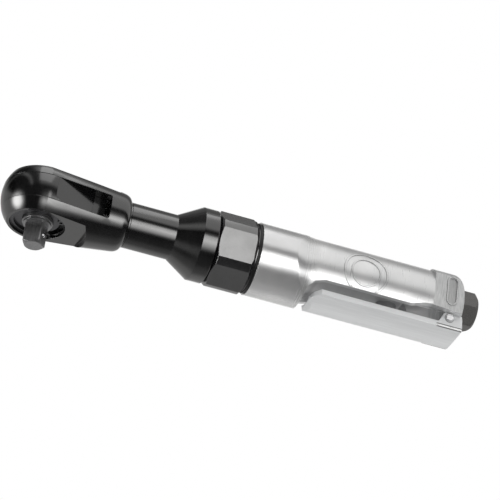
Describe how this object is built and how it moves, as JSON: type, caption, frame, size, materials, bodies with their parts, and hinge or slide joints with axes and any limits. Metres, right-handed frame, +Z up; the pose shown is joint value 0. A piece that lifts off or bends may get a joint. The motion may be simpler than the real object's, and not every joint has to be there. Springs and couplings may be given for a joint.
{
  "type": "air ratchet",
  "caption": "Pneumatic ratchet wrench: square drive in a forked ratchet head, clamp nut, vane-motor barrel grip, underside throttle lever and rear threaded air inlet.",
  "frame": {"origin": "centre of the drive square in the plane of the shoulder a socket seats against", "axes": "+X from the ratchet head to the air inlet, parallel to the tool's long axis; +Z up, out of the head's reversing-knob side, so the drive square and the throttle lever are on -Z; +Y completes the right-handed frame"},
  "size_m": [0.2651, 0.0426, 0.0472],
  "materials": {
    "head_black": "semi-gloss black coating over forged steel",
    "yoke_black": "satin black oxide over forged steel",
    "nut_black": "satin black with near-mirror flats",
    "seal_black": "matt black",
    "housing_aluminium": "polished die casting, satin at the rear block",
    "lever_satin": "satin nickel-plated pressing",
    "pin_chrome": "bright",
    "drive_steel": "dark phosphated and ground",
    "inlet_dark": "dark oxide",
    "bearing_steel": "ground",
    "hardened_steel": "ground",
    "bronze": "sintered",
    "rubber_seal": "matt",
    "vane_phenolic": "woven phenolic",
    "brass_turned": "turned"
  },
  "bodies": {
    "handle": {"motor_housing": "housing_aluminium", "throttle_bushing": "brass_turned", "stem_seal": "rubber_seal", "throttle_spring": "hardened_steel", "lever_pin": "pin_chrome", "air_inlet_bushing": "inlet_dark", "inlet_screen": "brass_turned", "clamp_nut": "nut_black", "nut_seal_ring": "seal_black", "nut_split_ring": "hardened_steel", "ratchet_head": "head_black", "ring_gear": "hardened_steel", "crank_needle_bearing": "bearing_steel", "crank_ball_bearing": "bearing_steel", "front_end_plate": "hardened_steel", "front_rotor_bearing": "bearing_steel", "motor_cylinder": "hardened_steel", "cylinder_pin": "hardened_steel", "rear_end_plate": "hardened_steel", "rear_rotor_bearing": "bearing_steel", "friction_washer": "hardened_steel", "thrust_washer": "drive_steel", "snap_ring": "inlet_dark"},
    "rotor": {"rotor": "hardened_steel"},
    "crank": {"crankshaft": "hardened_steel", "planet_pins": "hardened_steel"},
    "planet_1": {"planet_gear_1": "hardened_steel"},
    "planet_2": {"planet_gear_2": "hardened_steel"},
    "planet_3": {"planet_gear_3": "hardened_steel"},
    "drive_bushing": {"drive_bushing": "bronze"},
    "yoke": {"ratchet_yoke": "yoke_black"},
    "anvil": {"drive_anvil": "drive_steel", "pawl_pin": "hardened_steel", "detent_spring": "hardened_steel"},
    "reverse_knob": {"reverse_knob": "inlet_dark", "reverse_spring": "hardened_steel"},
    "pawl": {"pawl": "hardened_steel"},
    "reverse_plunger": {"reverse_plunger": "hardened_steel"},
    "detent_ball": {"detent_ball": "bearing_steel"},
    "throttle_lever": {"throttle_lever": "lever_satin"},
    "throttle_stem": {"throttle_stem": "hardened_steel"},
    "valve_ball": {"valve_ball": "bearing_steel"},
    "vane_1": {"rotor_vane_1": "vane_phenolic"},
    "vane_2": {"rotor_vane_2": "vane_phenolic"},
    "vane_3": {"rotor_vane_3": "vane_phenolic"},
    "vane_4": {"rotor_vane_4": "vane_phenolic"},
    "vane_5": {"rotor_vane_5": "vane_phenolic"}
  },
  "joints": [
    {"name": "rotor_spin", "type": "hinge", "parent": "handle", "child": "rotor", "pos_m": [0, 0, 0.0144], "axis": [1, 0, 0], "continuous": true},
    {"name": "crank_spin", "type": "hinge", "parent": "handle", "child": "crank", "pos_m": [0, 0, 0.0144], "axis": [1, 0, 0], "continuous": true},
    {"name": "planet_spin_1", "type": "hinge", "parent": "crank", "child": "planet_1", "pos_m": [0.086, 0, 0.02184], "axis": [1, 0, 0], "continuous": true},
    {"name": "planet_spin_2", "type": "hinge", "parent": "crank", "child": "planet_2", "pos_m": [0.086, -0.00644, 0.01068], "axis": [1, 0, 0], "continuous": true},
    {"name": "planet_spin_3", "type": "hinge", "parent": "crank", "child": "planet_3", "pos_m": [0.086, 0.00644, 0.01068], "axis": [1, 0, 0], "continuous": true},
    {"name": "bushing_spin", "type": "hinge", "parent": "crank", "child": "drive_bushing", "pos_m": [0.025, 0, 0.0162], "axis": [1, 0, 0], "continuous": true},
    {"name": "yoke_swing", "type": "hinge", "parent": "handle", "child": "yoke", "pos_m": [0, 0, 0.0144], "axis": [0, 0, -1], "range_deg": [-3.8, 3.8]},
    {"name": "anvil_spin", "type": "hinge", "parent": "handle", "child": "anvil", "pos_m": [0, 0, 0.0144], "axis": [0, 0, 1], "continuous": true},
    {"name": "reverse_turn", "type": "hinge", "parent": "anvil", "child": "reverse_knob", "pos_m": [0, 0, 0.0144], "axis": [0, 0, 1], "range_deg": [-35, 35]},
    {"name": "pawl_rock", "type": "hinge", "parent": "anvil", "child": "pawl", "pos_m": [-0.0086, 0, 0.0144], "axis": [0, 0, 1], "range_deg": [-4, 4]},
    {"name": "reverse_plunger_press", "type": "slide", "parent": "reverse_knob", "child": "reverse_plunger", "axis": [1, 0, 0], "range_m": [0, 0.0008], "stiffness_N_per_m": 600, "springref_m": -0.0006, "deforming": ["reverse_spring"]},
    {"name": "detent_press", "type": "slide", "parent": "anvil", "child": "detent_ball", "axis": [-0.8572, 0.515, 0], "range_m": [0, 0.0009], "stiffness_N_per_m": 600, "springref_m": -0.0006, "deforming": ["detent_spring"]},
    {"name": "lever_squeeze", "type": "hinge", "parent": "handle", "child": "throttle_lever", "pos_m": [0.227, 0, 0.0043], "axis": [0, 1, 0], "range_deg": [0, 4]},
    {"name": "stem_press", "type": "slide", "parent": "handle", "child": "throttle_stem", "axis": [0, 0, 1], "range_m": [0, 0.0024]},
    {"name": "valve_ball_lift", "type": "slide", "parent": "handle", "child": "valve_ball", "axis": [0, 0, 1], "range_m": [0, 0.0024], "stiffness_N_per_m": 500, "springref_m": -0.001, "deforming": ["throttle_spring"]},
    {"name": "vane_slide_1", "type": "slide", "parent": "rotor", "child": "vane_1", "axis": [0, 0.891, -0.454], "range_m": [0, 0.001]},
    {"name": "vane_slide_2", "type": "slide", "parent": "rotor", "child": "vane_2", "axis": [0, -0.7071, -0.7071], "range_m": [-0.0026, 0]},
    {"name": "vane_slide_3", "type": "slide", "parent": "rotor", "child": "vane_3", "axis": [0, 0.454, -0.891], "range_m": [-0.001, 0]},
    {"name": "vane_slide_4", "type": "slide", "parent": "rotor", "child": "vane_4", "axis": [0, -0.9877, -0.1564], "range_m": [0, 0.0014]},
    {"name": "vane_slide_5", "type": "slide", "parent": "rotor", "child": "vane_5", "axis": [0, -0.1564, -0.9877], "range_m": [0, 0.0003]}
  ],
  "couplings": [
    {"joint": "crank_spin", "follows": "rotor_spin", "ratio": 0.25},
    {"joint": "planet_spin_1", "follows": "rotor_spin", "ratio": -0.75},
    {"joint": "planet_spin_2", "follows": "rotor_spin", "ratio": -0.75},
    {"joint": "planet_spin_3", "follows": "rotor_spin", "ratio": -0.75},
    {"joint": "pawl_rock", "follows": "reverse_turn", "ratio": -0.114},
    {"joint": "stem_press", "follows": "lever_squeeze", "m_per_rad": 0.0335},
    {"joint": "valve_ball_lift", "follows": "lever_squeeze", "m_per_rad": 0.0335}
  ]
}
